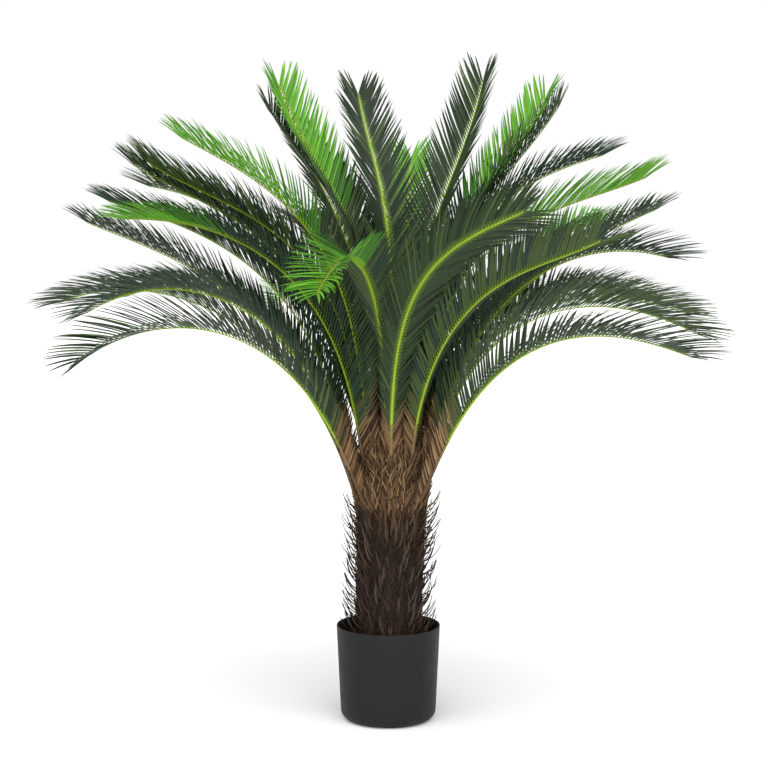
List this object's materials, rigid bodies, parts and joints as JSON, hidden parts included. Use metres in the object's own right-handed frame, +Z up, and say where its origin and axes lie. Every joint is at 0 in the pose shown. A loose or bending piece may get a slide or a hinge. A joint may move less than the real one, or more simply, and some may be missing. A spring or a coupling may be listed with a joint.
{
  "type": "artificial sago palm",
  "caption": "Artificial sago palm: arching plastic fronds on a fibre-wrapped trunk, set in a plain round pot.",
  "frame": {"origin": "middle of the pot's flat underside, on the floor", "axes": "+Z up, the front of the plant towards -Y, +X to the right as seen from the front"},
  "size_m": [1.3195, 1.2519, 1.2977],
  "materials": {
    "pot": "moulded matt black",
    "cement": "rough cast",
    "trunk": "coarse brown fibre",
    "leaf_dark": "satin dark green",
    "leaf_bright": "satin bright green"
  },
  "bodies": {
    "root": {"frond_core_01": "leaf_bright", "frond_core_02": "leaf_bright", "frond_core_03": "leaf_dark", "frond_core_04": "leaf_dark", "frond_low_01_inner": "leaf_dark", "frond_low_01_outer": "leaf_dark", "frond_low_02_inner": "leaf_dark", "frond_low_02_outer": "leaf_dark", "frond_low_03_inner": "leaf_dark", "frond_low_03_outer": "leaf_dark", "frond_low_04_inner": "leaf_dark", "frond_low_04_outer": "leaf_dark", "frond_low_05_inner": "leaf_dark", "frond_low_05_outer": "leaf_dark", "frond_low_06_inner": "leaf_dark", "frond_low_06_outer": "leaf_dark", "frond_low_07_inner": "leaf_dark", "frond_low_07_outer": "leaf_dark", "frond_low_08_inner": "leaf_dark", "frond_low_08_outer": "leaf_dark", "frond_low_09_inner": "leaf_bright", "frond_low_09_outer": "leaf_bright", "frond_low_10_inner": "leaf_dark", "frond_low_10_outer": "leaf_dark", "frond_low_11_inner": "leaf_dark", "frond_low_11_outer": "leaf_dark", "frond_mid_01_inner": "leaf_dark", "frond_mid_01_outer": "leaf_dark", "frond_mid_02_inner": "leaf_bright", "frond_mid_02_outer": "leaf_bright", "frond_mid_03_inner": "leaf_dark", "frond_mid_03_outer": "leaf_dark", "frond_mid_04_inner": "leaf_dark", "frond_mid_04_outer": "leaf_dark", "frond_mid_05": "leaf_dark", "frond_mid_06_inner": "leaf_dark", "frond_mid_06_outer": "leaf_dark", "frond_mid_07_inner": "leaf_dark", "frond_mid_07_outer": "leaf_dark", "frond_mid_08": "leaf_bright", "frond_mid_09": "leaf_dark", "frond_mid_10": "leaf_dark", "frond_mid_11": "leaf_dark", "frond_mid_12": "leaf_dark", "frond_top_01_inner": "leaf_bright", "frond_top_01_outer": "leaf_bright", "frond_top_02": "leaf_bright", "frond_top_03": "leaf_dark", "frond_top_04": "leaf_dark", "frond_top_05": "leaf_dark", "frond_top_06": "leaf_bright", "frond_top_07": "leaf_dark", "frond_top_08": "leaf_dark", "frond_top_09": "leaf_dark", "frond_top_10": "leaf_dark", "frond_top_11": "leaf_bright", "pot": "pot", "pot_cement_weight": "cement", "trunk": "trunk"}
  },
  "joints": []
}
